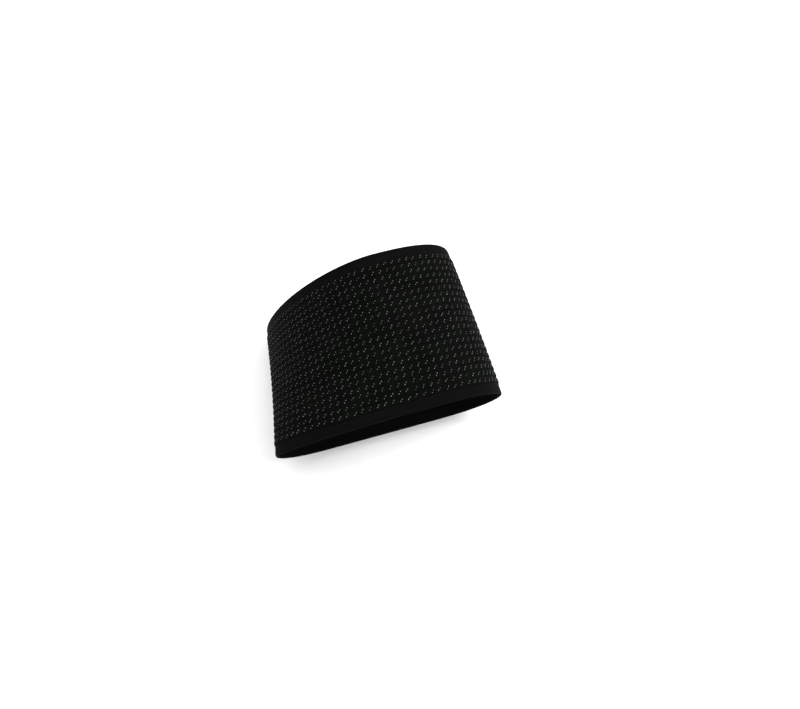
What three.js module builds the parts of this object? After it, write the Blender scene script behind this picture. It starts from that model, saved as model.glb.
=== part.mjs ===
// Arch support sleeve: a wide ribbed elastic band, with a plain smooth edge band at the toe edge and
// at the ankle edge. It keeps its worn form, for the right side of a pair. Millimetres, +Z up, +X
// towards the inner side, +Y towards the ankle edge. The origin is on the inside of the sole wall,
// half-way between the two edges.
import * as THREE from 'three';

// Hollow of the sleeve
const hollowWidth = 94; // at the toe edge, where it is widest
const hollowHeight = 64; // at the ankle edge, where it is highest
const bandWidth = 69; // toe edge to ankle edge, along the sole
const soleFlat = 0.5; // middle share of the sole that is flat
const soleCorner = 2.2; // power of the arcs that turn up from the sole (2 is an ellipse)

// Knit
const panelWall = 1.6; // through a rib of the panel
const ribDepth = 0.3; // groove between two ribs
const ribCount = 20; // ribs between the two edge bands
const grooveShare = 0.36; // share of a rib's pitch that its groove takes
const edgeBandWidth = 4.3;
const edgeBandWall = 1.2;
const edgeRounding = 0.35; // bevel along the free edges
const pieceGap = 0.3; // clear space between the panel and an edge band

// Facets
const pointsAround = 56;
const panelInsideSteps = 8; // stations across the inside of the panel
const normalStep = 0.01; // share of the band's width used to measure the surface's slope
const outlineDivisions = 600; // steps used to measure the length of an outline
const stretches = 6; // sole, outer corner, outer side, inner side, inner corner, sole

// Sections of the hollow, from the toe edge to the ankle edge. The outer side is at -X.
//   along          place across the band, as a share of its width
//   width, height  shares of the hollow's width and height
//   outward        share of this width on the outer side of the origin
//   crown          highest point, as a share of this width from the origin towards the inner side
//   outerBulge     height of the widest point on the outer side, as a share of this height
//   innerBulge     the same on the inner side
//   outerRound     power of the arc from that widest point up to the crown
//   innerRound     the same on the inner side
//   lean           degrees that the section leans forward, past the toe edge of the sole
//   skew           degrees that its inner side stands further forward
const sections = [
  { along: 0.0, width: 1.0, height: 0.692, outward: 0.518, crown: 0.146, outerBulge: 0.503,
    innerBulge: 0.368, outerRound: 1.65, innerRound: 2.13, lean: 25.7, skew: 1.3 },
  { along: 0.5, width: 0.919, height: 0.877, outward: 0.474, crown: 0.127, outerBulge: 0.269,
    innerBulge: 0.422, outerRound: 1.7, innerRound: 2.4, lean: 23.8, skew: 0.5 },
  { along: 1.0, width: 0.857, height: 1.0, outward: 0.434, crown: 0.102, outerBulge: 0.123,
    innerBulge: 0.484, outerRound: 1.75, innerRound: 2.67, lean: 21.9, skew: -0.3 },
];

// One column of the sections' table at any place across the band: the parabola through its rows.
function columnAt(column, along) {
  let value = 0;
  for (const row of sections) {
    let weight = 1;
    for (const other of sections) {
      if (other !== row) weight *= (along - other.along) / (row.along - other.along);
    }
    value += weight * row[column];
  }
  return value;
}

// A quarter of a superellipse: t runs from 0 to 1 while the first value falls from 1 to 0.
function quarterArc(power, t) {
  const angle = (t * Math.PI) / 2;
  return [Math.cos(angle) ** (2 / power), Math.sin(angle) ** (2 / power)];
}

// The closed outline of the hollow at one place across the band. It starts in the middle of the
// sole and goes up the outer side, over the crown and down the inner side.
class HollowSection extends THREE.Curve {
  constructor(along) {
    super();
    this.arcLengthDivisions = outlineDivisions;
    const width = hollowWidth * columnAt('width', along);
    this.height = hollowHeight * columnAt('height', along);
    this.outerX = -width * columnAt('outward', along);
    this.innerX = this.outerX + width;
    this.crownX = width * columnAt('crown', along);
    this.outerZ = this.height * columnAt('outerBulge', along);
    this.innerZ = this.height * columnAt('innerBulge', along);
    this.outerRound = columnAt('outerRound', along);
    this.innerRound = columnAt('innerRound', along);
    this.soleY = bandWidth * (along - 0.5);
    this.lean = Math.tan(THREE.MathUtils.degToRad(columnAt('lean', along)));
    this.skew = Math.tan(THREE.MathUtils.degToRad(columnAt('skew', along)));
  }

  // One stretch of the outline, with t from 0 to 1, as [x, z].
  stretch(index, t) {
    const middle = (this.outerX + this.innerX) / 2;
    const flat = (soleFlat * (this.innerX - this.outerX)) / 2;
    const outerFlat = middle - flat;
    const innerFlat = middle + flat;
    if (index === 0) return [middle - flat * t, 0];
    if (index === 1) {
      const [down, out] = quarterArc(soleCorner, t);
      return [outerFlat + (this.outerX - outerFlat) * out, this.outerZ * (1 - down)];
    }
    if (index === 2) {
      const [out, up] = quarterArc(this.outerRound, t);
      return [this.crownX + (this.outerX - this.crownX) * out,
        this.outerZ + (this.height - this.outerZ) * up];
    }
    if (index === 3) {
      const [up, out] = quarterArc(this.innerRound, t);
      return [this.crownX + (this.innerX - this.crownX) * out,
        this.innerZ + (this.height - this.innerZ) * up];
    }
    if (index === 4) {
      const [out, down] = quarterArc(soleCorner, t);
      return [innerFlat + (this.innerX - innerFlat) * out, this.innerZ * (1 - down)];
    }
    return [innerFlat - flat * t, 0];
  }

  getPoint(t, target = new THREE.Vector3()) {
    const place = (t - Math.floor(t)) * stretches;
    const index = Math.floor(place);
    const [x, z] = this.stretch(index, place - index);
    return target.set(x, this.soleY - z * this.lean - x * this.skew, z);
  }
}

// Evenly spaced points round the hollow at one place across the band.
function ringPoints(along) {
  return new HollowSection(along).getSpacedPoints(pointsAround).slice(0, pointsAround);
}

// The same points moved straight out of the surface by the offset.
function offsetRing(along, offset) {
  const here = ringPoints(along);
  const toeward = ringPoints(along - normalStep);
  const heelward = ringPoints(along + normalStep);
  return here.map((point, i) => {
    const around = new THREE.Vector3().subVectors(
      here[(i + 1) % pointsAround], here[(i + pointsAround - 1) % pointsAround]);
    const across = new THREE.Vector3().subVectors(heelward[i], toeward[i]);
    const outward = around.cross(across).normalize();
    return point.clone().addScaledVector(outward, offset);
  });
}

// A closed wall round the hollow. Its profile is a closed loop of stations, each with its distance
// from the toe edge along the sole and its offset out of the hollow.
function wallGeometry(profile) {
  const positions = [];
  for (const { fromToes, offset } of profile) {
    for (const point of offsetRing(fromToes / bandWidth, offset)) {
      positions.push(point.x, point.y, point.z);
    }
  }
  const triangles = [];
  for (let ring = 0; ring < profile.length; ring++) {
    const a = ring * pointsAround;
    const b = ((ring + 1) % profile.length) * pointsAround;
    for (let i = 0; i < pointsAround; i++) {
      const j = (i + 1) % pointsAround;
      triangles.push(a + i, a + j, b + j, a + i, b + j, b + i);
    }
  }
  const geometry = new THREE.BufferGeometry();
  geometry.setAttribute('position', new THREE.Float32BufferAttribute(positions, 3));
  geometry.setIndex(triangles);
  geometry.computeVertexNormals();
  return geometry;
}

// Panel: ribs side by side between the edge bands, and a smooth inside.
function panelProfile() {
  const start = edgeBandWidth + pieceGap;
  const width = bandWidth - 2 * start;
  const pitch = width / ribCount;
  const shoulder = (grooveShare / 2) * pitch;
  const grooveOffset = panelWall - ribDepth;
  const profile = [{ fromToes: start, offset: grooveOffset }];
  for (let rib = 0; rib < ribCount; rib++) {
    const ribStart = start + rib * pitch;
    profile.push({ fromToes: ribStart + shoulder, offset: panelWall });
    profile.push({ fromToes: ribStart + pitch - shoulder, offset: panelWall });
    profile.push({ fromToes: ribStart + pitch, offset: grooveOffset });
  }
  for (let step = panelInsideSteps; step >= 0; step--) {
    profile.push({ fromToes: start + (width * step) / panelInsideSteps, offset: 0 });
  }
  return profile;
}

// Edge band: flat, with a bevel at its free edge. It is drawn from the toe edge.
function edgeBandProfile() {
  return [
    { fromToes: 0, offset: edgeRounding },
    { fromToes: 0, offset: edgeBandWall - edgeRounding },
    { fromToes: edgeRounding, offset: edgeBandWall },
    { fromToes: edgeBandWidth / 2, offset: edgeBandWall },
    { fromToes: edgeBandWidth, offset: edgeBandWall },
    { fromToes: edgeBandWidth, offset: 0 },
    { fromToes: edgeBandWidth / 2, offset: 0 },
    { fromToes: edgeRounding, offset: 0 },
  ];
}

// The same band at the ankle edge.
function mirroredProfile(profile) {
  return profile.map(({ fromToes, offset }) => ({ fromToes: bandWidth - fromToes, offset })).reverse();
}

const ribbedKnit = new THREE.MeshStandardMaterial({ color: 0x17191a, roughness: 0.88, metalness: 0 });
const plainKnit = new THREE.MeshStandardMaterial({ color: 0x121413, roughness: 0.82, metalness: 0 });

function addPiece(group, name, geometry, material) {
  const mesh = new THREE.Mesh(geometry, material);
  mesh.name = name;
  group.add(mesh);
}

const sleeve = new THREE.Group();
sleeve.name = 'arch_support_sleeve';
addPiece(sleeve, 'sleeve_panel', wallGeometry(panelProfile()), ribbedKnit);
addPiece(sleeve, 'toe_edge_band', wallGeometry(edgeBandProfile()), plainKnit);
addPiece(sleeve, 'ankle_edge_band', wallGeometry(mirroredProfile(edgeBandProfile())), plainKnit);

export default sleeve;
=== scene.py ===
"""Looks of an arch support sleeve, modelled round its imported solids.

The sleeve is a wide black elastic knit in its worn form, for the right side of a pair. Its panel
has rows of knit side by side like low ribs, a pale elastic strand shows through in every stitch,
and a plain close-knit edge band finishes each opening. Metres, +Z up, +X to the inner side, -Y to
the toe edge.
"""
import logging
import math
from dataclasses import dataclass, field
from enum import Enum
from typing import Callable, Sequence

import bmesh
import bpy
import numpy as np
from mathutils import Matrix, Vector


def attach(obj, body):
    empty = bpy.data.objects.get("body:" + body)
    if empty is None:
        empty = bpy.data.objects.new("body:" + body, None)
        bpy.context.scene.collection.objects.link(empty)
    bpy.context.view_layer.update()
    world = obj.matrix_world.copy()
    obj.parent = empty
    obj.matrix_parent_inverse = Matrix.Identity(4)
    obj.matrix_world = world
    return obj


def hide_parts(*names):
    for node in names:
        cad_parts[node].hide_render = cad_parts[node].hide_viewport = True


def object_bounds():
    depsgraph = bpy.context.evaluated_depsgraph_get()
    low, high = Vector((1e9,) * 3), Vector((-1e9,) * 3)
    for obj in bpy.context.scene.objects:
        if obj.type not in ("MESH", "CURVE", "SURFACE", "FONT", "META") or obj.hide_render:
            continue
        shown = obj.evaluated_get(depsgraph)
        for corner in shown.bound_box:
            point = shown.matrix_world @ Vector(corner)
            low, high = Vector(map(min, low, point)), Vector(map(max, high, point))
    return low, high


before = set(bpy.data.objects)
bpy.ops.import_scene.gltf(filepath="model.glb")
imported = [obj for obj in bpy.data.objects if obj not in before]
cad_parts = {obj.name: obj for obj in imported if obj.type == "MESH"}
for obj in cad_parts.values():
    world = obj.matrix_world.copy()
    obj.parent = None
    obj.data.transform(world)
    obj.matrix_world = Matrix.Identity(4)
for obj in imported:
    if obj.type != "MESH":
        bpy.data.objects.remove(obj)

CAD_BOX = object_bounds()
MM = 0.001
LOG = logging.getLogger("sleeve")
KNIT_UV = "knit"
TONE = "tone"
BODY = "root"
WHITE = (1.0, 1.0, 1.0)
MIX_INPUTS = (6, 7)  # sockets of a Mix node's two colours, whose names other sockets share
MIX_RESULT = 2

Triple = tuple[float, float, float]
Socket = bpy.types.NodeSocket


@dataclass(frozen=True)
class Section:
    """One section of the hollow. Lengths are shares of the sizes that the columns name.

    Args:
        along: Place across the band, as a share of its width from the toe edge.
        width: Share of the hollow's width.
        height: Share of the hollow's height.
        outward: Share of this width on the outer side of the origin, at -X.
        crown: Highest point, as a share of this width from the origin to the inner side.
        outer_bulge: Height of the widest point on the outer side, as a share of this height.
        inner_bulge: The same on the inner side.
        outer_round: Power of the arc from that widest point up to the crown.
        inner_round: The same on the inner side.
        lean: Degrees that the section leans forward, past the toe edge of the sole.
        skew: Degrees that its inner side stands further forward.
    """

    along: float
    width: float
    height: float
    outward: float
    crown: float
    outer_bulge: float
    inner_bulge: float
    outer_round: float
    inner_round: float
    lean: float
    skew: float


@dataclass(frozen=True)
class Hollow:
    """The inside of the sleeve, which every wall is measured from.

    Args:
        hollow_width: Width at the toe edge, where it is widest.
        hollow_height: Height at the ankle edge, where it is highest.
        band_width: Toe edge to ankle edge, along the sole.
        sole_flat: Middle share of the sole that is flat.
        sole_corner: Power of the arcs that turn up from the sole.
        arc_steps: Points along each arc of the outline.
        slope_step: Share of the outline that slopes are measured over, and of the band to
            each side.
        sections: The sections, from the toe edge to the ankle edge.
    """

    hollow_width: float = 94.0 * MM
    hollow_height: float = 64.0 * MM
    band_width: float = 69.0 * MM
    sole_flat: float = 0.5
    sole_corner: float = 2.2
    arc_steps: int = 240
    slope_step: float = 0.01
    sections: tuple[Section, ...] = (
        Section(0.0, 1.0, 0.692, 0.518, 0.146, 0.503, 0.368, 1.65, 2.13, 25.7, 1.3),
        Section(0.5, 0.919, 0.877, 0.474, 0.127, 0.269, 0.422, 1.70, 2.40, 23.8, 0.5),
        Section(1.0, 0.857, 1.0, 0.434, 0.102, 0.123, 0.484, 1.75, 2.67, 21.9, -0.3),
    )

    def size(self, name: str, along: float) -> float:
        """Read one column of the sections at any place across the band.

        Args:
            name: The column.
            along: Share of the band's width from the toe edge.

        Returns:
            The value there of the parabola through the rows.
        """
        value = 0.0
        for row in self.sections:
            weight = 1.0
            for other in self.sections:
                if other is not row:
                    weight *= (along - other.along) / (row.along - other.along)
            value += weight * getattr(row, name)
        return value

    def arc(self, power: float) -> tuple[np.ndarray, np.ndarray]:
        """A quarter of a superellipse, as its falling and rising coordinate."""
        angle = np.linspace(0.0, math.pi / 2, self.arc_steps)
        return np.abs(np.cos(angle)) ** (2 / power), np.abs(np.sin(angle)) ** (2 / power)

    def outline(self, along: float) -> np.ndarray:
        """Trace the hollow at one place across the band.

        Args:
            along: Share of the band's width from the toe edge.

        Returns:
            Points from the middle of the sole up the outer side, over the crown and back.
        """
        width = self.hollow_width * self.size("width", along)
        height = self.hollow_height * self.size("height", along)
        outer = -width * self.size("outward", along)
        inner = outer + width
        crown = width * self.size("crown", along)
        outer_z = height * self.size("outer_bulge", along)
        inner_z = height * self.size("inner_bulge", along)
        middle, flat = (outer + inner) / 2, self.sole_flat * width / 2
        fall, rise = self.arc(self.sole_corner)
        out_fall, out_rise = self.arc(self.size("outer_round", along))
        in_fall, in_rise = self.arc(self.size("inner_round", along))
        x = np.concatenate([
            [middle],
            middle - flat + (outer - middle + flat) * rise,
            crown + (outer - crown) * out_fall,
            crown + (inner - crown) * in_rise,
            middle + flat + (inner - middle - flat) * fall,
            [middle],
        ])
        z = np.concatenate([
            [0.0],
            outer_z * (1 - fall),
            outer_z + (height - outer_z) * out_rise,
            inner_z + (height - inner_z) * in_fall,
            inner_z * (1 - rise),
            [0.0],
        ])
        lean = math.tan(math.radians(self.size("lean", along)))
        skew = math.tan(math.radians(self.size("skew", along)))
        y = self.band_width * (along - 0.5) - z * lean - x * skew
        return np.stack([x, y, z], axis=1)

    def ring(self, along: float, shares: np.ndarray) -> np.ndarray:
        """Points at shares of the outline's length.

        Args:
            along: Share of the band's width from the toe edge.
            shares: Places round the outline, from 0 to 1.

        Returns:
            One point for each share.
        """
        line = self.outline(along)
        steps = np.linalg.norm(np.diff(line, axis=0), axis=1)
        reached = np.concatenate([[0.0], np.cumsum(steps)])
        wanted = np.mod(shares, 1.0) * reached[-1]
        return np.stack([np.interp(wanted, reached, line[:, i]) for i in range(3)], axis=1)

    def surface(self, along: float, shares: np.ndarray) -> tuple[np.ndarray, np.ndarray]:
        """Points of the inside surface, with the outward direction at each.

        Args:
            along: Share of the band's width from the toe edge.
            shares: Places round the outline, from 0 to 1.

        Returns:
            The points and the unit vectors that point out of the hollow.
        """
        step = self.slope_step
        around = self.ring(along, shares + step / 2) - self.ring(along, shares - step / 2)
        across = self.ring(along + step, shares) - self.ring(along - step, shares)
        outward = np.cross(around, across)
        outward /= np.linalg.norm(outward, axis=1)[:, None]
        return self.ring(along, shares), outward


@dataclass(frozen=True)
class KnitGauge:
    """How the knit is laid out on the sleeve, shared by all its pieces.

    Args:
        space: The hollow.
        columns: Stitch columns round the sleeve.
        ribs: Ribs across the panel.
        edge_width: Width of an edge band.
        gap: Space between the panel's solid and an edge band's.
        panel_wall: Thickness through a rib.
        edge_wall: Thickness of an edge band.
        rib_depth: Depth of the groove between two ribs.
        groove_power: How narrow a groove is.
        stitch_dip: Depth of the dip between two stitches of a rib.
        column_shift: Turn of the stitch columns at the toe edge and at the ankle edge.
        column_stretch: How much wider apart they lie over the toe end's top.
        column_middle: Place round the outline where they lie widest apart.
    """

    space: Hollow = field(default_factory=Hollow)
    columns: int = 83
    ribs: int = 20
    edge_width: float = 4.3 * MM
    gap: float = 0.3 * MM
    panel_wall: float = 1.6 * MM
    edge_wall: float = 1.2 * MM
    rib_depth: float = 0.3 * MM
    groove_power: float = 4.0
    stitch_dip: float = 0.05 * MM
    column_shift: tuple[float, float] = (0.0048, -0.0105)
    column_stretch: float = 0.056
    column_middle: float = 0.464

    @property
    def panel_start(self) -> float:
        """Distance of the first rib from the toe edge."""
        return self.edge_width + self.gap

    @property
    def pitch(self) -> float:
        """Width of one rib."""
        return (self.space.band_width - 2 * self.panel_start) / self.ribs

    def row_at(self, distance: float) -> float:
        """Number of ribs between the panel's toe end and a distance from the toe edge."""
        return (distance - self.panel_start) / self.pitch

    def turn(self, column: np.ndarray, along: float) -> np.ndarray:
        """Share of the outline at stitch columns, which lie wider apart over the toe end's top.

        Args:
            column: Stitch columns, counted round the hollow.
            along: Share of the band's width from the toe edge.

        Returns:
            Places round the outline, from 0 to 1.
        """
        share = column / self.columns
        toe, ankle = self.column_shift
        wave = np.sin(2 * math.pi * (share - self.column_middle)) / (2 * math.pi)
        return share + toe + (ankle - toe) * along + self.column_stretch * (1 - along) * wave

    def height(self, column: np.ndarray, row: float) -> np.ndarray:
        """Outer height of the panel over the hollow.

        Args:
            column: Stitch columns, counted round the hollow.
            row: Rib number, with the fraction of the way across it.

        Returns:
            The height at each column.
        """
        groove = abs(math.cos(math.pi * row)) ** self.groove_power
        stitch = (0.5 + 0.5 * np.cos(2 * math.pi * column)) ** 2
        return self.panel_wall - self.rib_depth * groove - self.stitch_dip * stitch * (1 - groove)


@dataclass(frozen=True)
class Station:
    """One ring of a wall's profile.

    Args:
        distance: Distance from the toe edge along the sole.
        height: Height over the hollow at given stitch columns.
    """

    distance: float
    height: Callable[[np.ndarray], np.ndarray]


class WallLoft:
    """A closed wall round the hollow: a circle of edges extruded from station to station."""

    def __init__(self, gauge: KnitGauge, segments: int) -> None:
        """Start from a circle of edges.

        Args:
            gauge: Layout of the knit.
            segments: Edges round the hollow.
        """
        self.gauge = gauge
        self.bm = bmesh.new()
        self.column_layer = self.bm.verts.layers.float.new("column")
        self.row_layer = self.bm.verts.layers.float.new("row")
        made = bmesh.ops.create_circle(self.bm, segments=segments, radius=gauge.space.hollow_width)
        self.ring = list(made["verts"])
        self.edges = list(self.bm.edges)
        self.first_edges = list(self.edges)
        self.columns = np.arange(segments) * gauge.columns / segments

    def extrude(self) -> None:
        """Extrude the ring, and make the new one the current ring."""
        made = bmesh.ops.extrude_edge_only(self.bm, edges=self.edges)["geom"]
        fresh = {item for item in made if isinstance(item, bmesh.types.BMVert)}
        self.edges = [
            item for item in made
            if isinstance(item, bmesh.types.BMEdge) and all(vert in fresh for vert in item.verts)
        ]
        self.ring = [
            next(other for edge in vert.link_edges if (other := edge.other_vert(vert)) in fresh)
            for vert in self.ring
        ]

    def place(self, station: Station) -> None:
        """Move the current ring to a station.

        Args:
            station: Where the ring goes.
        """
        along = station.distance / self.gauge.space.band_width
        points, outward = self.gauge.space.surface(along, self.gauge.turn(self.columns, along))
        points = points + outward * station.height(self.columns)[:, None]
        row = self.gauge.row_at(station.distance)
        for vert, point, column in zip(self.ring, points.tolist(), self.columns.tolist()):
            vert.co = point
            vert[self.column_layer] = column
            vert[self.row_layer] = row

    def loft(self, profile: Sequence[Station]) -> None:
        """Extrude through a profile, and close its last ring to its first.

        Args:
            profile: The stations of one closed loop.
        """
        for index, station in enumerate(profile):
            if index:
                self.extrude()
            self.place(station)
        bmesh.ops.bridge_loops(self.bm, edges=self.first_edges + self.edges)
        bmesh.ops.recalc_face_normals(self.bm, faces=self.bm.faces)

    def unwrap(self) -> None:
        """Write a UV map whose unit is one stitch column by one rib."""
        layer = self.bm.loops.layers.uv.new(KNIT_UV)
        whole = self.gauge.columns
        for face in self.bm.faces:
            columns = [loop.vert[self.column_layer] for loop in face.loops]
            wraps = max(columns) - min(columns) > whole / 2
            for loop, column in zip(face.loops, columns):
                over = whole if wraps and column < whole / 2 else 0
                loop[layer].uv = (column + over, loop.vert[self.row_layer])

    def finish(self, name: str) -> bpy.types.Object:
        """Turn the wall into a smooth mesh object.

        Args:
            name: Name of the piece.

        Returns:
            The object, at the origin.
        """
        self.unwrap()
        return make_object(name, self.bm)


def make_object(name: str, bm: bmesh.types.BMesh) -> bpy.types.Object:
    """Turn a bmesh into a smooth object at the origin, and free it.

    Args:
        name: Name of the piece.
        bm: Its mesh.

    Returns:
        The new object.
    """
    for face in bm.faces:
        face.smooth = True
    mesh = bpy.data.meshes.new(name)
    bm.to_mesh(mesh)
    bm.free()
    made = bpy.data.objects.new(name, mesh)
    bpy.context.scene.collection.objects.link(made)
    return made


@dataclass(frozen=True)
class Relief:
    """Depth of a bump.

    Args:
        strength: Share of the bump.
        depth: Real height of a value of 1, in metres.
    """

    strength: float
    depth: float


@dataclass(frozen=True)
class Surface:
    """Gloss and fuzz of a finish. A value that isn't given is the shader's own.

    Args:
        roughness: Roughness of the yarn.
        specular: Level of its reflection.
        sheen: Weight of the fuzz on it.
        sheen_roughness: Roughness of the fuzz.
        sheen_tint: Colour of the fuzz.
    """

    roughness: float
    specular: float = 0.5
    sheen: float = 0.0
    sheen_roughness: float = 0.5
    sheen_tint: Triple = WHITE


class NodeBoard:
    """Short calls that lay out a material's nodes."""

    def __init__(self, name: str) -> None:
        """Start a material with a bare Principled shader.

        Args:
            name: Name of the material.
        """
        self.material = bpy.data.materials.new(name)
        self.material.use_nodes = True
        self.tree = self.material.node_tree
        self.shader = self.tree.nodes["Principled BSDF"]

    def add(self, kind: str, **settings: object) -> bpy.types.Node:
        """Add a node.

        Args:
            kind: Blender's name of the node type.
            **settings: Values of its properties.

        Returns:
            The new node.
        """
        node = self.tree.nodes.new(kind)
        for name, value in settings.items():
            setattr(node, name, value)
        return node

    def wire(self, target: Socket, source: object) -> None:
        """Feed a socket from another socket, or set its value.

        Args:
            target: The socket to feed.
            source: A socket or value.
        """
        if isinstance(source, Socket):
            self.tree.links.new(source, target)
        else:
            target.default_value = source

    def math(self, operation: str, first: object, second: object = 0.0) -> Socket:
        """Combine two values.

        Args:
            operation: Blender's name of the operation.
            first: A socket or number.
            second: A socket or number.

        Returns:
            The result's socket.
        """
        node = self.add("ShaderNodeMath", operation=operation)
        self.wire(node.inputs[0], first)
        self.wire(node.inputs[1], second)
        return node.outputs[0]

    def knit_place(self) -> Socket:
        """The place in the knit, in stitch columns and ribs."""
        return self.add("ShaderNodeUVMap", uv_map=KNIT_UV).outputs["UV"]

    def rib(self, place: Socket) -> Socket:
        """Read the rib number of a place in the knit.

        Args:
            place: The place's socket.

        Returns:
            The number's socket.
        """
        split = self.add("ShaderNodeSeparateXYZ")
        self.wire(split.inputs[0], place)
        return split.outputs["Y"]

    def scaled(self, vector: Socket, scale: Triple) -> Socket:
        """Scale a vector.

        Args:
            vector: The vector's socket.
            scale: Factor along each axis.

        Returns:
            The scaled vector's socket.
        """
        node = self.add("ShaderNodeVectorMath", operation="MULTIPLY")
        self.wire(node.inputs[0], vector)
        node.inputs[1].default_value = scale
        return node.outputs[0]

    def noise(self, vector: Socket, scale: float, detail: float = 3.0) -> Socket:
        """Add cloudy noise.

        Args:
            vector: Socket of the place that it is read at.
            scale: Clouds for each unit of length.
            detail: How fine its finest clouds are.

        Returns:
            Socket of a value from 0 to 1.
        """
        node = self.add("ShaderNodeTexNoise")
        self.wire(node.inputs["Vector"], vector)
        node.inputs["Scale"].default_value = scale
        node.inputs["Detail"].default_value = detail
        return node.outputs["Fac"]

    def cells(self, vector: Socket, randomness: float) -> Socket:
        """Measure the distance to the middle of the nearest yarn loop.

        Args:
            vector: Socket of the place, in loops.
            randomness: How far the loops stray from a grid.

        Returns:
            The distance's socket.
        """
        node = self.add("ShaderNodeTexVoronoi", feature="F1")
        self.wire(node.inputs["Vector"], vector)
        node.inputs["Scale"].default_value = 1.0
        node.inputs["Randomness"].default_value = randomness
        return node.outputs["Distance"]

    def ramp(self, value: Socket, places: tuple[float, float], low: Triple, high: Triple) -> Socket:
        """A colour ramp.

        Args:
            value: The socket that drives it.
            places: Values at which the two colours are reached.
            low: Colour of the first.
            high: Colour of the second.

        Returns:
            The colour's socket.
        """
        node = self.add("ShaderNodeValToRGB")
        self.wire(node.inputs[0], value)
        for element, place, colour in zip(node.color_ramp.elements, places, (low, high)):
            element.position = place
            element.color = (*colour, 1.0)
        return node.outputs["Color"]

    def multiply(self, amount: object, first: Socket, second: object) -> Socket:
        """Multiply two colours.

        Args:
            amount: Share of the second colour.
            first: A colour's socket.
            second: A socket or RGBA colour.

        Returns:
            The colour's socket.
        """
        node = self.add("ShaderNodeMix", data_type="RGBA", blend_type="MULTIPLY")
        self.wire(node.inputs["Factor"], amount)
        for place, colour in zip(MIX_INPUTS, (first, second)):
            self.wire(node.inputs[place], colour)
        return node.outputs[MIX_RESULT]

    def bump(self, height: Socket, relief: Relief, under: Socket | None = None) -> Socket:
        """A bumped normal.

        Args:
            height: The height's socket.
            relief: How deep the bump is.
            under: The normal of a bump under this one.

        Returns:
            The normal's socket.
        """
        node = self.add("ShaderNodeBump")
        node.inputs["Strength"].default_value = relief.strength
        node.inputs["Distance"].default_value = relief.depth
        self.wire(node.inputs["Height"], height)
        if under is not None:
            self.wire(node.inputs["Normal"], under)
        return node.outputs["Normal"]

    def finish(self, surface: Surface, colour: object,
               normal: Socket | None = None) -> bpy.types.Material:
        """Set the shader.

        Args:
            surface: Gloss and fuzz.
            colour: A socket or RGBA colour.
            normal: The bumped normal, if there is one.

        Returns:
            The material.
        """
        values = {
            "Base Color": colour,
            "Roughness": surface.roughness,
            "Specular IOR Level": surface.specular,
            "Sheen Weight": surface.sheen,
            "Sheen Roughness": surface.sheen_roughness,
            "Sheen Tint": (*surface.sheen_tint, 1.0),
        }
        for name, value in values.items():
            self.wire(self.shader.inputs[name], value)
        if normal is not None:
            self.wire(self.shader.inputs["Normal"], normal)
        return self.material


@dataclass(frozen=True)
class RibbedKnit:
    """Near-black ribbed elastic knit. Its patterns are counted in stitch columns and ribs.

    Args:
        deep: Darkest colour of the yarn.
        face: Lightest colour of the yarn.
        tones: Noise values at which the two are reached.
        cloud_scale: Soft clouds in the colour, for each stitch.
        fuzz_scale: Specks of fuzz for each stitch.
        fuzz_detail: How fine the finest specks are.
        fuzz_share: Share of the fuzz in the colour.
        fuzz_relief: Depth of the fuzz.
        loops: Yarn loops for each stitch, round the sleeve and across it.
        loop_scatter: How far the loops stray from a grid.
        loop_edges: Distances from a loop's middle between which it gets darker.
        loop_shade: Shade between the loops.
        loop_relief: Depth of the loops.
        groove_power: How narrow the shade in a groove is.
        groove_shade: Shade in a groove.
        surface: Gloss and fuzz.
    """

    deep: Triple = (0.0012, 0.0016, 0.0012)
    face: Triple = (0.0036, 0.0044, 0.0036)
    tones: tuple[float, float] = (0.3, 0.7)
    cloud_scale: float = 0.35
    fuzz_scale: float = 14.0
    fuzz_detail: float = 2.0
    fuzz_share: float = 0.5
    fuzz_relief: Relief = Relief(0.3, 0.05 * MM)
    loops: Triple = (6.0, 5.0, 1.0)
    loop_scatter: float = 0.35
    loop_edges: tuple[float, float] = (0.25, 0.75)
    loop_shade: float = 0.45
    loop_relief: Relief = Relief(0.7, 0.12 * MM)
    groove_power: float = 8.0
    groove_shade: float = 0.9
    surface: Surface = Surface(0.9, 0.018, 0.002, 0.35, (0.75, 0.78, 0.74))

    def material(self) -> bpy.types.Material:
        """Lay out the finish.

        Returns:
            The material.
        """
        board = NodeBoard("ribbed_knit")
        place = board.knit_place()
        loops = board.cells(board.scaled(place, self.loops), self.loop_scatter)
        cloud = board.noise(place, self.cloud_scale)
        fuzz = board.noise(place, self.fuzz_scale, self.fuzz_detail)
        wave = board.math("COSINE", board.math("MULTIPLY", board.rib(place), math.pi))
        groove = board.math("POWER", board.math("ABSOLUTE", wave), self.groove_power)
        tone = board.math("ADD", board.math("MULTIPLY", cloud, 1 - self.fuzz_share),
                          board.math("MULTIPLY", fuzz, self.fuzz_share))
        colour = board.ramp(tone, self.tones, self.deep, self.face)
        gaps = board.ramp(loops, self.loop_edges, WHITE, (self.loop_shade,) * 3)
        colour = board.multiply(1.0, colour, gaps)
        colour = board.multiply(groove, colour, (*(self.groove_shade,) * 3, 1.0))
        normal = board.bump(board.math("SUBTRACT", 1.0, loops), self.loop_relief)
        normal = board.bump(fuzz, self.fuzz_relief, normal)
        return board.finish(self.surface, colour, normal)


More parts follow.
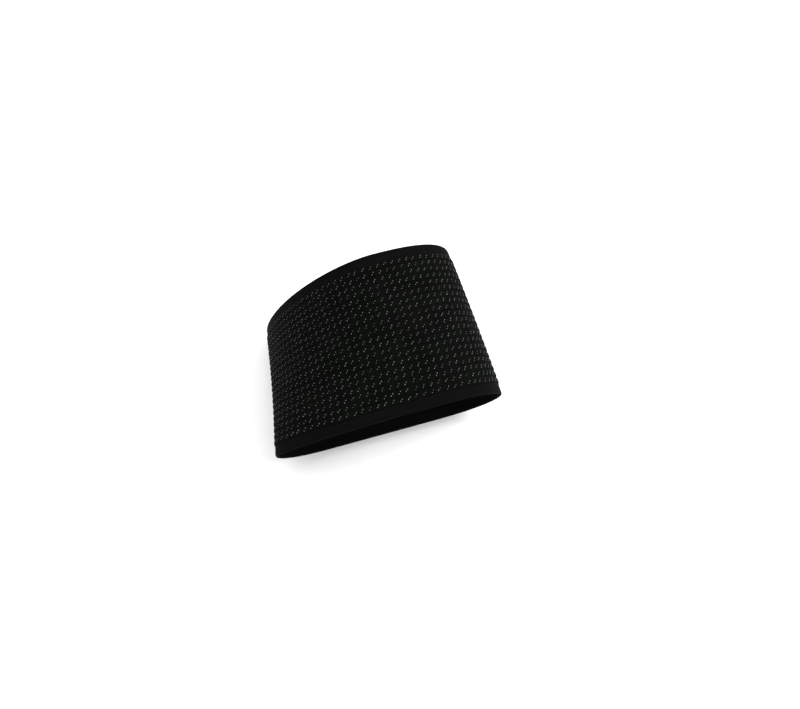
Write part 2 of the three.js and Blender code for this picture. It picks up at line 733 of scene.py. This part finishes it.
@dataclass(frozen=True)
class EdgeKnit:
    """Near-black plain close knit of the edge bands, with faint painted sheen streaks along them.

    Args:
        deep: Darkest colour of the yarn.
        face: Lightest colour, which the painted sheen streaks reach.
        tones: Noise values at which the two are reached.
        painted_sheen_streaks: Painted sheen streaks for each stitch, round the sleeve and across
            it.
        loops: Yarn loops for each stitch, round the sleeve and across it.
        loop_scatter: How far the loops stray from a grid.
        loop_edges: Distances from a loop's middle between which it gets darker.
        loop_shade: Shade between the loops.
        loop_relief: Depth of the loops.
        surface: Gloss and fuzz.
    """

    deep: Triple = (0.0014, 0.0017, 0.0015)
    face: Triple = (0.0031, 0.0036, 0.0032)
    tones: tuple[float, float] = (0.3, 0.7)
    painted_sheen_streaks: Triple = (0.15, 6.0, 1.0)
    loops: Triple = (7.0, 9.0, 1.0)
    loop_scatter: float = 0.3
    loop_edges: tuple[float, float] = (0.25, 0.8)
    loop_shade: float = 0.6
    loop_relief: Relief = Relief(0.5, 0.06 * MM)
    surface: Surface = Surface(0.82, 0.018, 0.002, 0.3, (0.75, 0.77, 0.78))

    def material(self) -> bpy.types.Material:
        """Lay out the finish.

        Returns:
            The material.
        """
        board = NodeBoard("edge_knit")
        place = board.knit_place()
        loops = board.cells(board.scaled(place, self.loops), self.loop_scatter)
        # painted sheen: lighter streaks along the band, laid into the colour
        painted_sheen_streaks = board.noise(board.scaled(place, self.painted_sheen_streaks), 1.0)
        colour = board.ramp(painted_sheen_streaks, self.tones, self.deep, self.face)
        gaps = board.ramp(loops, self.loop_edges, WHITE, (self.loop_shade,) * 3)
        colour = board.multiply(1.0, colour, gaps)
        normal = board.bump(board.math("SUBTRACT", 1.0, loops), self.loop_relief)
        return board.finish(self.surface, colour, normal)


@dataclass(frozen=True)
class CoreYarnFinish:
    """Pale grey elastic yarn that shows between the black stitches, with its fine twist.

    Args:
        dull: Colour of the covered necks.
        pale: Colour of the palest spots.
        twist_scale: Turns of the twist in a metre.
        twist_detail: How fine its finest turns are.
        twist_edges: Noise values between which a turn gets lighter.
        twist_shade: Shade between two turns.
        twist_share: Share of that shade in the colour.
        twist_relief: Depth of the twist.
        surface: Gloss and fuzz.
    """

    dull: Triple = (0.008, 0.009, 0.008)
    pale: Triple = (0.165, 0.172, 0.161)
    twist_scale: float = 5000.0
    twist_detail: float = 1.0
    twist_edges: tuple[float, float] = (0.3, 0.7)
    twist_shade: float = 0.6
    twist_share: float = 0.5
    twist_relief: Relief = Relief(0.5, 0.05 * MM)
    surface: Surface = Surface(0.6, sheen=0.1)

    def material(self) -> bpy.types.Material:
        """Lay out the finish.

        Returns:
            The material.
        """
        board = NodeBoard("core_yarn")
        tone = board.add("ShaderNodeAttribute", attribute_name=TONE).outputs["Fac"]
        place = board.add("ShaderNodeTexCoord").outputs["Object"]
        twist = board.noise(place, self.twist_scale, self.twist_detail)
        colour = board.ramp(tone, (0.0, 1.0), self.dull, self.pale)
        turns = board.ramp(twist, self.twist_edges, (self.twist_shade,) * 3, WHITE)
        colour = board.multiply(self.twist_share, colour, turns)
        return board.finish(self.surface, colour, board.bump(twist, self.twist_relief))


@dataclass(frozen=True)
class FloorFinish:
    """Plain pale studio floor.

    Args:
        colour: Its colour.
        surface: Its gloss.
    """

    colour: Triple = (0.86, 0.86, 0.86)
    surface: Surface = Surface(0.9, 0.2)

    def material(self) -> bpy.types.Material:
        """The floor's material."""
        return NodeBoard("studio_floor").finish(self.surface, (*self.colour, 1.0))


@dataclass
class SleevePanel:
    """The wide ribbed knit between the two edge bands.

    Args:
        gauge: Layout of the knit.
        segments_per_column: Mesh segments for each stitch column.
        rib_places: Stations across each rib, as shares of its width.
        inside_steps: Steps across the inside.
        relaxed_round: Girth before the sleeve is worn; not used.
        piece: The panel, once it is built.
    """

    gauge: KnitGauge
    segments_per_column: int = 5
    rib_places: tuple[float, ...] = (0.0, 0.1, 0.2, 0.35, 0.5, 0.65, 0.8, 0.9)
    inside_steps: int = 24
    relaxed_round: float = 210.0 * MM
    piece: bpy.types.Object | None = None

    def profile(self) -> list[Station]:
        """Stations over the ribs from the toe end, and back along the inside.

        Returns:
            One closed loop of stations.
        """
        gauge = self.gauge
        rows = [rib + place for rib in range(gauge.ribs) for place in self.rib_places]
        rows.append(float(gauge.ribs))
        stations = []
        for row in rows:
            distance = gauge.panel_start + row * gauge.pitch
            stations.append(Station(distance, lambda column, row=row: gauge.height(column, row)))
        width = gauge.ribs * gauge.pitch
        for step in range(self.inside_steps, -1, -1):
            distance = gauge.panel_start + width * step / self.inside_steps
            stations.append(Station(distance, np.zeros_like))
        return stations

    def build(self) -> bpy.types.Object:
        """Model the panel.

        Returns:
            The piece.
        """
        loft = WallLoft(self.gauge, self.gauge.columns * self.segments_per_column)
        loft.loft(self.profile())
        self.piece = loft.finish("ribbed_panel")
        return self.piece

    def dress(self, with_pieces: Sequence[bpy.types.Object]) -> None:
        """Give the panel its finish and place in the model.

        Args:
            with_pieces: The separate pieces on it; not used.
        """
        self.piece.data.materials.append(RibbedKnit().material())
        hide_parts("sleeve_panel")
        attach(self.piece, BODY)


class Opening(Enum):
    """The two openings of the sleeve."""

    TOE = "toe"
    ANKLE = "ankle"


@dataclass
class EdgeBand:
    """The plain band that finishes one opening.

    Args:
        gauge: Layout of the knit.
        opening: The opening that it finishes.
        segments_per_column: Mesh segments for each stitch column.
        steps: Steps across the outside.
        rounding: Radius of the free edge.
        rounding_steps: Steps over each of its two quarter turns.
        cord_pitch: Distance between two of the faint cords along the band.
        cord_height: Half their height.
        inside_steps: Steps across the inside.
        piece: The band, once it is built.
    """

    gauge: KnitGauge
    opening: Opening
    segments_per_column: int = 4
    steps: int = 24
    rounding: float = 0.45 * MM
    rounding_steps: int = 4
    cord_pitch: float = 0.9 * MM
    cord_height: float = 0.03 * MM
    inside_steps: int = 6
    piece: bpy.types.Object | None = None

    def outer_height(self, distance: float) -> float:
        """Height of the outside at a distance from the free edge.

        Args:
            distance: Distance from the free edge along the sole.

        Returns:
            The height over the hollow.
        """
        ripple = self.cord_height * math.cos(2 * math.pi * distance / self.cord_pitch)
        return self.gauge.edge_wall + ripple - self.cord_height

    def profile(self) -> list[Station]:
        """Stations round the band's section, from the inside of its free edge.

        Returns:
            One closed loop of stations.
        """
        gauge, turn = self.gauge, self.rounding
        reach = gauge.edge_width + gauge.gap
        points = []
        for step in range(self.rounding_steps + 1):
            angle = math.pi / 2 * step / self.rounding_steps
            points.append((turn * (1 - math.sin(angle)), turn * (1 - math.cos(angle))))
        for step in range(self.rounding_steps + 1):
            angle = math.pi / 2 * step / self.rounding_steps
            top = self.outer_height(turn)
            points.append((turn * (1 - math.cos(angle)), top - turn * (1 - math.sin(angle))))
        for step in range(1, self.steps + 1):
            distance = turn + (reach - turn) * step / self.steps
            points.append((distance, self.outer_height(distance)))
        for step in range(self.inside_steps):
            points.append((reach + (turn - reach) * step / self.inside_steps, 0.0))
        if self.opening is Opening.ANKLE:
            points = [(gauge.space.band_width - distance, height) for distance, height in points]
        return [
            Station(distance, lambda column, height=height: np.full_like(column, height))
            for distance, height in points
        ]

    def build(self) -> bpy.types.Object:
        """Model the band.

        Returns:
            The piece.
        """
        loft = WallLoft(self.gauge, self.gauge.columns * self.segments_per_column)
        loft.loft(self.profile())
        self.piece = loft.finish(f"{self.opening.value}_edge")
        return self.piece

    def dress(self, finish: bpy.types.Material) -> None:
        """Give the band its finish and place in the model.

        Args:
            finish: The edge bands' material.
        """
        self.piece.data.materials.append(finish)
        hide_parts(f"{self.opening.value}_edge_band")
        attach(self.piece, BODY)


@dataclass(frozen=True)
class StrandRing:
    """One ring of a pale strand, counted from one end to the other.

    Args:
        place: Place along the strand, which has the middles of its two spots at -1 and 1.
        thickness: Share of the spots' thickness.
        light: Share of the spots' tone.
    """

    place: float
    thickness: float
    light: float


@dataclass
class CoreYarn:
    """Pale elastic yarn: one slanted strand in each stitch, which shows as two spots and a neck.

    Args:
        gauge: Layout of the knit.
        slant: Degrees between a strand and its rib.
        half_length: From a strand's middle to the middle of a spot.
        half_width: Half the width of a spot.
        half_height: Half its thickness.
        sink: How deep a strand's middle lies in its rib.
        jitter: Stray of a strand, as a share of a stitch.
        slant_jitter: Stray of the slant in degrees.
        tone: Mean and stray of the spots' paleness, from 0 to 1.
        bond: Least and most power that thins and darkens a neck.
        fatness: Least and most factor on a strand's thickness.
        stretch: The same on its length.
        sides: Sides of a strand.
        rings: Rings of a strand, from end to end.
        aim_step: Share of a stitch, to each side, that the way round is measured over.
        seed: Seed of the strays.
        piece: The yarn, once it is built.
    """

    gauge: KnitGauge
    slant: float = 49.0
    half_length: float = 0.56 * MM
    half_width: float = 0.19 * MM
    half_height: float = 0.11 * MM
    sink: float = 0.03 * MM
    jitter: float = 0.045
    slant_jitter: float = 6.0
    tone: tuple[float, float] = (0.64, 0.25)
    bond: tuple[float, float] = (1.2, 3.0)
    fatness: tuple[float, float] = (0.85, 1.12)
    stretch: tuple[float, float] = (0.92, 1.08)
    sides: int = 6
    rings: tuple[StrandRing, ...] = (
        StrandRing(-1.35, 0.0, 1.0),
        StrandRing(-1.24, 0.75, 1.0),
        StrandRing(-1.0, 1.0, 1.0),
        StrandRing(-0.68, 0.62, 0.55),
        StrandRing(0.0, 0.3, 0.2),
        StrandRing(0.68, 0.62, 0.55),
        StrandRing(1.0, 1.0, 1.0),
        StrandRing(1.24, 0.75, 1.0),
        StrandRing(1.35, 0.0, 1.0),
    )
    aim_step: float = 0.1
    seed: int = 7
    piece: bpy.types.Object | None = None

    @property
    def reach(self) -> float:
        """How far the fattest strand stands out of a rib."""
        return self.half_height * self.fatness[1] - self.sink

    def balls(self, bm: bmesh.types.BMesh, count: int) -> list[list[bmesh.types.BMVert]]:
        """Fill a bmesh with equal balls of radius 1.

        Args:
            bm: An empty bmesh.
            count: How many balls it gets.

        Returns:
            The points of each ball.
        """
        first = bmesh.new()
        bmesh.ops.create_uvsphere(
            first, u_segments=self.sides, v_segments=len(self.rings) - 1, radius=1.0)
        ball = bpy.data.meshes.new("ball")
        first.to_mesh(ball)
        first.free()
        for _ in range(count):
            bm.from_mesh(ball)
        points, size = list(bm.verts), len(ball.vertices)
        bpy.data.meshes.remove(ball)
        return [points[start:start + size] for start in range(0, len(points), size)]

    def ring_shares(self, ball: Sequence[bmesh.types.BMVert]) -> tuple[np.ndarray, np.ndarray]:
        """Match the points of a ball, pole to pole, to the strand's rings.

        Args:
            ball: Points of a ball of radius 1.

        Returns:
            For each point its ring as a row of place, thickness and light, and its turn round
            the strand.
        """
        bands = len(self.rings) - 1
        depths = np.clip([-vert.co.z for vert in ball], -1.0, 1.0)
        steps = np.rint(np.arccos(depths) / math.pi * bands).astype(int)
        turns = np.array([math.atan2(vert.co.y, vert.co.x) for vert in ball])
        rings = np.array([(ring.place, ring.thickness, ring.light) for ring in self.rings])
        return rings[steps], turns

    def frames(self, random: np.random.Generator) -> np.ndarray:
        """Place every strand.

        Args:
            random: Source of the small irregularities.

        Returns:
            For each strand its middle and its lengthwise, sideways and outward directions.
        """
        gauge, space = self.gauge, self.gauge.space
        count, nudge = gauge.columns, self.aim_step / gauge.columns
        frames = []
        for rib in range(gauge.ribs):
            distance = gauge.panel_start + (rib + 0.5) * gauge.pitch
            along = distance / space.band_width
            columns = np.arange(count) + 0.5 + random.normal(0.0, self.jitter, count)
            shares = gauge.turn(columns, along)
            points, outward = space.surface(along, shares)
            around = space.ring(along, shares + nudge) - space.ring(along, shares - nudge)
            around /= np.linalg.norm(around, axis=1)[:, None]
            rearward = np.cross(outward, around)
            slant = np.radians(random.normal(self.slant, self.slant_jitter, count))[:, None]
            length = around * np.cos(slant) + rearward * np.sin(slant)
            lift = gauge.height(columns, gauge.row_at(distance)) - self.sink
            shift = random.normal(0.0, self.jitter * gauge.pitch, count)
            middle = points + outward * lift[:, None] + rearward * shift[:, None]
            frames.append(np.stack([middle, length, np.cross(outward, length), outward], axis=1))
        return np.concatenate(frames)

    def build(self) -> bpy.types.Object:
        """Join the strands of all stitches.

        Returns:
            The piece.
        """
        random = np.random.default_rng(self.seed)
        frames = self.frames(random)
        strands = len(frames)
        bm = bmesh.new()
        layer = bm.verts.layers.float.new(TONE)
        balls = self.balls(bm, strands)
        rings, turns = self.ring_shares(balls[0])
        bond = random.uniform(*self.bond, (strands, 1))
        thick = rings[None, :, 1] ** bond * random.uniform(*self.fatness, (strands, 1))
        long = rings[None, :, 0] * random.uniform(*self.stretch, (strands, 1))
        local = np.stack([
            long * self.half_length,
            np.cos(turns) * thick * self.half_width,
            np.sin(turns) * thick * self.half_height,
        ], axis=2)
        points = frames[:, None, 0] + np.einsum("npi,nij->npj", local, frames[:, 1:])
        ends = np.clip(random.normal(*self.tone, (strands, 2)), 0.0, 1.0)
        share = np.clip(rings[:, 0] / 2 + 0.5, 0.0, 1.0)
        tones = (ends[:, :1] * (1 - share) + ends[:, 1:] * share) * rings[:, 2] ** bond
        for ball, places, lights in zip(balls, points.tolist(), tones.tolist()):
            for vert, place, light in zip(ball, places, lights):
                vert.co = place
                vert[layer] = light
        self.piece = make_object("core_yarn", bm)
        return self.piece

    def dress(self) -> None:
        """Give the yarn its finish and place in the model."""
        self.piece.data.materials.append(CoreYarnFinish().material())
        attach(self.piece, BODY)


@dataclass(frozen=True)
class SoftLight:
    """One area light.

    Args:
        name: Name of the light.
        place: Where it stands.
        size: Width of its square face.
        power: Watts.
    """

    name: str
    place: Triple
    size: float
    power: float


@dataclass
class Studio:
    """Floor, soft light and camera.

    Args:
        floor_height: Height of the floor.
        azimuth: Degrees that the camera stands round the sleeve, from -Y towards +X.
        elevation: Degrees that it stands above the pivot.
        distance: From the pivot to the camera.
        pixels_per_metre: Scale of the picture at the pivot.
        look_right: How far to the right of the pivot the camera aims.
        look_up: How far above it the camera aims.
        pivot: Middle of the sleeve.
        picture_width: Width of the picture in pixels.
        sensor: Width of the camera's sensor in millimetres.
        nearest: Nearest distance that the camera sees.
        floor_size: Side of the floor.
        lights: The area lights.
        world: Strength of the light from all round.
    """

    floor_height: float
    azimuth: float = -15.3
    elevation: float = 51.3
    distance: float = 384.0 * MM
    pixels_per_metre: float = 2348.0
    look_right: float = 15.9 * MM
    look_up: float = -11.75 * MM
    pivot: Triple = (0.0, 0.0, 30.4 * MM)
    picture_width: int = 800
    sensor: float = 36.0
    nearest: float = 10.0 * MM
    floor_size: float = 6.0
    lights: tuple[SoftLight, ...] = (
        SoftLight("fill", (-0.5, -0.7, 1.3), 0.9, 5.0),
        SoftLight("key", (1.0, -0.3, 0.9), 0.9, 20.0),
        SoftLight("back", (0.1, 1.1, 0.8), 0.8, 4.0),
    )
    world: float = 1.2

    def camera_axes(self) -> tuple[Vector, Vector, Vector]:
        """Work out the camera's directions before it is aimed.

        Returns:
            Its way back from the pivot, its right and its up.
        """
        azimuth, elevation = math.radians(self.azimuth), math.radians(self.elevation)
        back = Vector((math.sin(azimuth) * math.cos(elevation),
                       -math.cos(azimuth) * math.cos(elevation), math.sin(elevation)))
        right = (-back).cross(Vector((0, 0, 1))).normalized()
        return back, right, right.cross(-back)

    def make_camera(self) -> None:
        """Stand the camera at the photograph's angle."""
        back, right, up = self.camera_axes()
        pivot = Vector(self.pivot)
        lens = bpy.data.cameras.new("camera")
        lens.sensor_width = self.sensor
        lens.lens = self.pixels_per_metre * self.distance / self.picture_width * self.sensor
        lens.clip_start = self.nearest
        camera = bpy.data.objects.new("camera", lens)
        camera.location = pivot + back * self.distance
        target = pivot + right * self.look_right + up * self.look_up
        camera.rotation_mode = "QUATERNION"
        camera.rotation_quaternion = (target - camera.location).to_track_quat("-Z", "Y")
        bpy.context.scene.collection.objects.link(camera)
        bpy.context.scene.camera = camera

    def make_floor(self) -> None:
        """Lay the floor under the sleeve."""
        bm = bmesh.new()
        bmesh.ops.create_grid(bm, x_segments=1, y_segments=1, size=self.floor_size / 2)
        bmesh.ops.translate(bm, vec=Vector((0, 0, self.floor_height)), verts=bm.verts)
        floor = make_object("floor", bm)
        floor.data.materials.append(FloorFinish().material())

    def make_lights(self) -> None:
        """Hang the area lights, aimed at the sleeve, and light the surroundings."""
        for light in self.lights:
            data = bpy.data.lights.new(light.name, "AREA")
            data.size = light.size
            data.energy = light.power
            lamp = bpy.data.objects.new(light.name, data)
            lamp.location = light.place
            lamp.rotation_mode = "QUATERNION"
            aim = Vector(self.pivot) - Vector(light.place)
            lamp.rotation_quaternion = aim.to_track_quat("-Z", "Y")
            bpy.context.scene.collection.objects.link(lamp)
        world = bpy.data.worlds.new("studio")
        world.use_nodes = True
        sky = world.node_tree.nodes["Background"].inputs
        sky["Color"].default_value = (*WHITE, 1.0)
        sky["Strength"].default_value = self.world
        bpy.context.scene.world = world
        bpy.context.scene.view_settings.view_transform = "Standard"


def main() -> None:
    """Build the studio and the sleeve, and report each piece."""
    logging.basicConfig(level=logging.INFO, format="%(name)s: %(message)s")
    gauge = KnitGauge()
    panel = SleevePanel(gauge)
    bands = [EdgeBand(gauge, opening) for opening in Opening]
    yarn = CoreYarn(gauge)
    studio = Studio(floor_height=CAD_BOX[0].z - yarn.reach)
    studio.make_camera()
    studio.make_floor()
    studio.make_lights()
    made = [part.build() for part in (panel, *bands, yarn)]
    edge_finish = EdgeKnit().material()
    for band in bands:
        band.dress(edge_finish)
    yarn.dress()
    panel.dress([band.piece for band in bands] + [yarn.piece])
    for piece in made:
        LOG.info("%s: %d faces", piece.name, len(piece.data.polygons))


if __name__ == "__main__":
    main()
